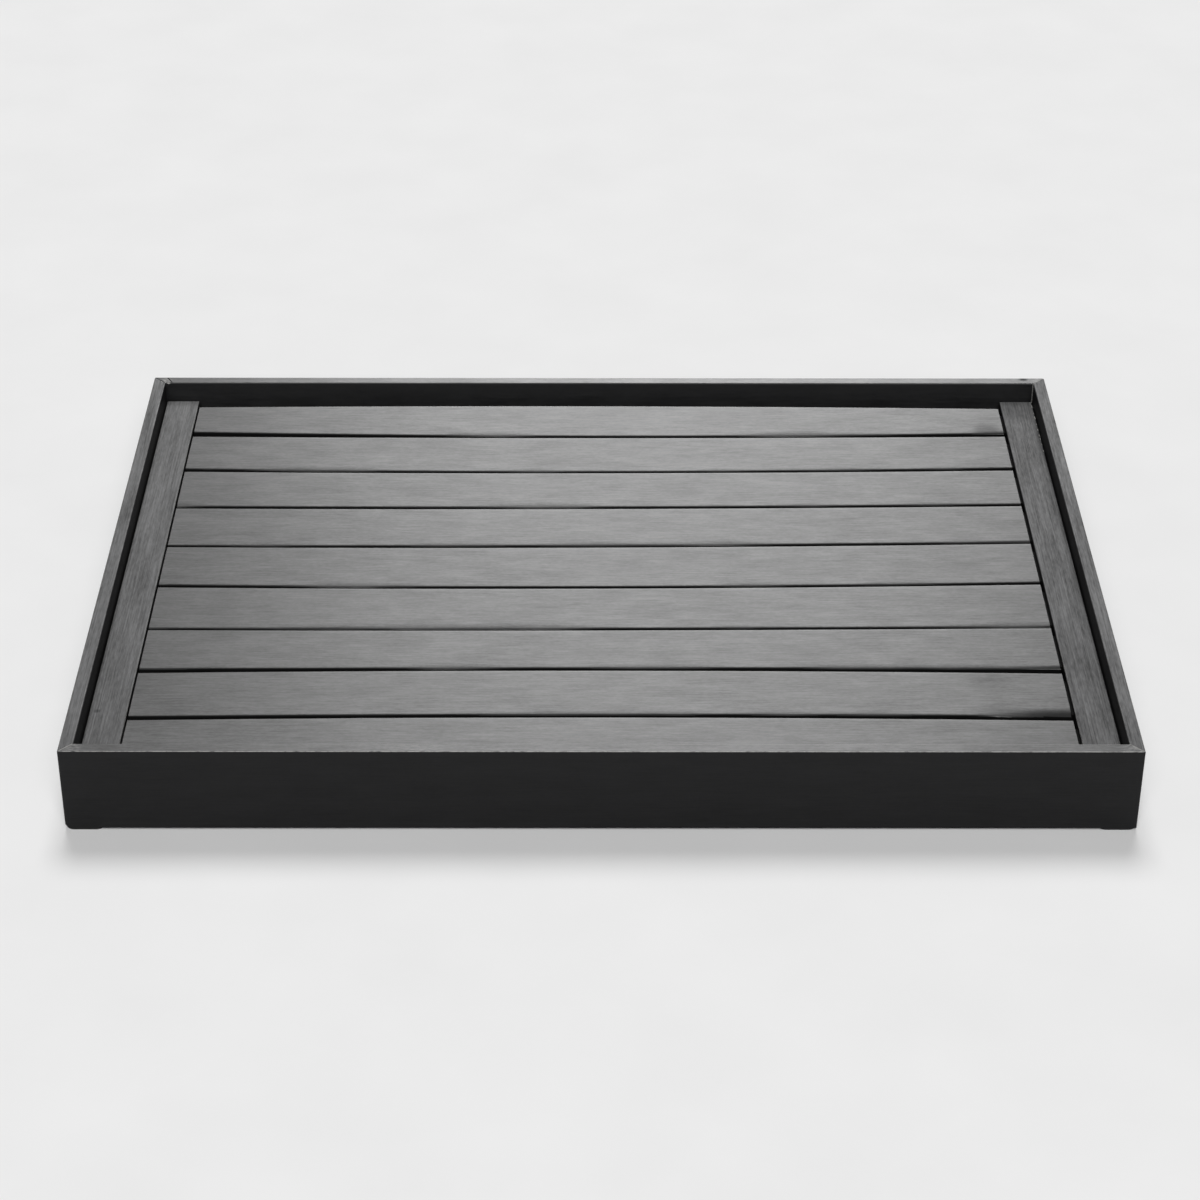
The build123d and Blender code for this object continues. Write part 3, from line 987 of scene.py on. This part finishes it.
def rubber_pad(node):
    """A soft-edged pad in the place of a CAD foot."""
    low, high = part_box(node)
    bpy.ops.object.select_all(action="DESELECT")
    bpy.ops.mesh.primitive_cube_add(size=1, location=(low + high) / 2, scale=high - low)
    piece = settle(bpy.context.object)
    piece.name = f"{node}_pad"
    bpy.ops.object.mode_set(mode="EDIT")
    pick(piece, "edges", lambda e: abs(e.verts[0].co.z - e.verts[1].co.z) > hair)
    bpy.ops.mesh.bevel(offset=pad_corner, segments=6, profile=0.5)
    pick(piece, "edges", lambda e: is_corner(e) and max(v.co.z for v in e.verts) < low.z + hair)
    bpy.ops.mesh.bevel(offset=pad_edge, segments=3, profile=0.5)
    pick(piece, "faces", lambda f: f.normal.z < -squarely)
    bpy.ops.mesh.inset(thickness=pad_rim, depth=-pad_dish)
    bpy.ops.object.mode_set(mode="OBJECT")
    give(piece, rubber)
    return piece


pads = {node: rubber_pad(node) for node in pad_names}
print("faces of a pad:", len(pads["front_left_foot"].data.polygons))

# %% [markdown]
# The knocked corner. The lower front left corner of the frame has been set down hard and is worn round
# above its pad. The tool is a small block with a lying oval cylinder taken out of it: held against the
# corner, square to the mitre, it leaves the corner with the cylinder's round.

# %% Knocked corner
knock_rise = 5.5 * mm
knock_run = 3.4 * mm
knock_reach = 16 * mm
knock_sides = 64


def knock_tool():
    """A block with a round hollow, along the line that runs across the front left corner."""
    corner = Vector((-half_length, -half_depth, 0))
    bpy.ops.object.select_all(action="DESELECT")
    bpy.ops.mesh.primitive_cylinder_add(
        vertices=knock_sides,
        radius=1,
        depth=2,
        location=corner + Vector((knock_run, 0, knock_rise)),
        rotation=(math.radians(90), 0, 0),
        scale=(knock_run, knock_rise, 2 * knock_reach),
    )
    core = settle(bpy.context.object)
    bpy.ops.object.select_all(action="DESELECT")
    bpy.ops.mesh.primitive_cube_add(
        size=2, location=corner, scale=(knock_run - hair, knock_reach, knock_rise - hair)
    )
    block = settle(bpy.context.object)
    for thing in (block, core):
        give(thing, bamboo["front_wall"][1])
    cut(block, core)
    alone(block)
    bpy.ops.transform.rotate(value=math.radians(-45), orient_axis="Z", center_override=corner)
    return settle(block)


for node in ("front_wall", "left_wall"):
    cut(walls[node], knock_tool())
print("knocked corner in mm:", round(knock_rise / mm, 1), "high,", round(knock_run / mm, 1), "in")

# %% [markdown]
# Shading. Faces that meet at less than 30 degrees are shaded as one surface, so arrises look round and
# corners stay crisp, and a Weighted Normal keeps the flats flat beside them. A float attribute marks the
# points in the middle of a rounded arris, where a cloth and a hand rub the stain thin: the finishes read
# it as wear. The CAD's arrises turn in finer steps than the bevelled ones, so copies of its pieces have
# limits of their own, and on them only what looks up is rubbed.

# %% Shade and mark the arrises
# Limits of a mark: the bend where it starts and where it is full, and the least upward normal
bevel_limits = (math.radians(15), math.radians(21), -1)
cad_limits = (math.radians(5), math.radians(7.5), 0.75)
sharp_bend = math.radians(40)
arris_reach = 1.5 * mm
smooth_below = math.radians(30)


def mark_arrises(piece, least_bend, full_bend, least_facing):
    """Store 1 at points in the middle of a rounded arris, 0 on flat, hollow or sharp places."""
    cage = bmesh.new()
    cage.from_mesh(piece.data)
    bends = []
    for vertex in cage.verts:
        edges = [edge for edge in vertex.link_edges if len(edge.link_faces) == 2]
        bends.append(max([edge.calc_face_angle_signed(0) for edge in edges] + [0]))
    shares = []
    for vertex, bend in zip(cage.verts, bends):
        far = [edge.other_vert(vertex) for edge in vertex.link_edges if edge.calc_length() > arris_reach]
        on_flat = any(bends[other.index] < least_bend for other in far)
        share = ease((bend - least_bend) / (full_bend - least_bend))
        spared = on_flat or bend > sharp_bend or vertex.normal.z < least_facing
        shares.append(0 if spared else share)
    cage.free()
    mark = piece.data.attributes.new("arris", "FLOAT", "POINT")
    mark.data.foreach_set("value", shares)


new_pieces = {**slats, **walls, **stiles, **pads}
for node, piece in new_pieces.items():
    alone(piece)
    bpy.ops.object.shade_smooth_by_angle(angle=smooth_below)
    mark_arrises(piece, *(bevel_limits if node in slats else cad_limits))
    work(piece, "WEIGHTED_NORMAL", keep_sharp=True)
print("new pieces:", len(new_pieces))

# %% [markdown]
# Every new piece rides on the body of the node that it stands for, and hides that node. The CAD nodes get
# their finishes too, also those that are hidden: a hidden node takes the first finish of its new piece,
# and any other node the finish of its slot.

# %% Put the pieces in their places
record = frame["record"]
body_of_node = {node: body for body, nodes in record["behaviour"]["bodies"].items() for node in nodes}
slot_of_node = {row["node"]: row["material_slot"] for row in record["subparts"]}
finish_of_slot = {
    "stained_inner_wood": inner_bamboo,
    "base_plywood": plywood,
    "plain_spline": plain_beech,
    "steel_fastener": zinc,
    "pan_plastic": moulded_abs,
}
for node, piece in new_pieces.items():
    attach(piece, body_of_node[node])
    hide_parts(node)
for node, thing in frame["nodes"].items():
    if node in new_pieces:
        give(thing, new_pieces[node].data.materials[0])
    else:
        give(thing, finish_of_slot[slot_of_node[node]])
print("slots:", sorted(set(slot_of_node.values())))

# %% [markdown]
# The set. The tray stands on a white, matt table. The key softbox hangs behind and above, so that the
# tray's shadow falls to the front. A very wide fill opens that shadow from the front. A far, low strip
# behind the tray is there for the gloss alone: the planed tops mirror it, and draw a bright line along
# the back of every slat. The table is left out of its light, and the back wall lets it pass, because the
# wall would shade the first slat.

# %% Table and lights
table_side = 40
table_mottle = 60 * mm
table_finish = speckled(
    "laminate, white, matt", ("e8e8e8", "ebebeb"), (0.85, 0.95), [table_mottle] * 3,
    gloss=0.0, relief=0.02 * mm,
)
bpy.ops.object.select_all(action="DESELECT")
bpy.ops.mesh.primitive_plane_add(size=table_side)
table = bpy.context.object
table.name = "table"
give(table, table_finish)
print("table in metres:", table_side)


def add_lamp(name, kind, azimuth, elevation, energy, distance=2, **settings):
    """A lamp that looks at the tray. Its azimuth counts from straight behind the tray, to the right."""
    data = bpy.data.lights.new(name, kind)
    data.energy = energy
    for key, value in settings.items():
        setattr(data, key, value)
    lamp = bpy.data.objects.new(name, data)
    bpy.context.scene.collection.objects.link(lamp)
    across, up = math.radians(azimuth), math.radians(elevation)
    way = Vector((math.sin(across) * math.cos(up), math.cos(across) * math.cos(up), math.sin(up)))
    turn = way.to_track_quat("Z", "Y").to_matrix().to_4x4()
    lamp.matrix_world = Matrix.Translation(way * distance) @ turn
    return lamp


add_lamp("key softbox", "SUN", azimuth=0, elevation=59, energy=1.46, angle=math.radians(24))
add_lamp("front fill", "SUN", azimuth=180, elevation=45, energy=2.37, angle=math.radians(40))
strip = add_lamp(
    "low strip", "AREA", azimuth=2.3, elevation=20, energy=124, distance=6,
    shape="RECTANGLE", size=1.95, size_y=0.86,
)
for use, piece in (("receiver", table), ("blocker", new_pieces["back_wall"])):
    left_out = bpy.data.collections.new(f"no {use} of the low strip")
    left_out.objects.link(piece)
    setattr(strip.light_linking, f"{use}_collection", left_out)
    left_out.collection_objects[0].light_linking.link_state = "EXCLUDE"

room_light = 0.08
world = bpy.data.worlds.new("studio")
world.use_nodes = True
world.node_tree.nodes.clear()
room = {"Color": linear("ffffff"), "Strength": room_light}
add_node(world.node_tree, "OutputWorld", {"Surface": add_node(world.node_tree, "Background", room)})
bpy.context.scene.world = world
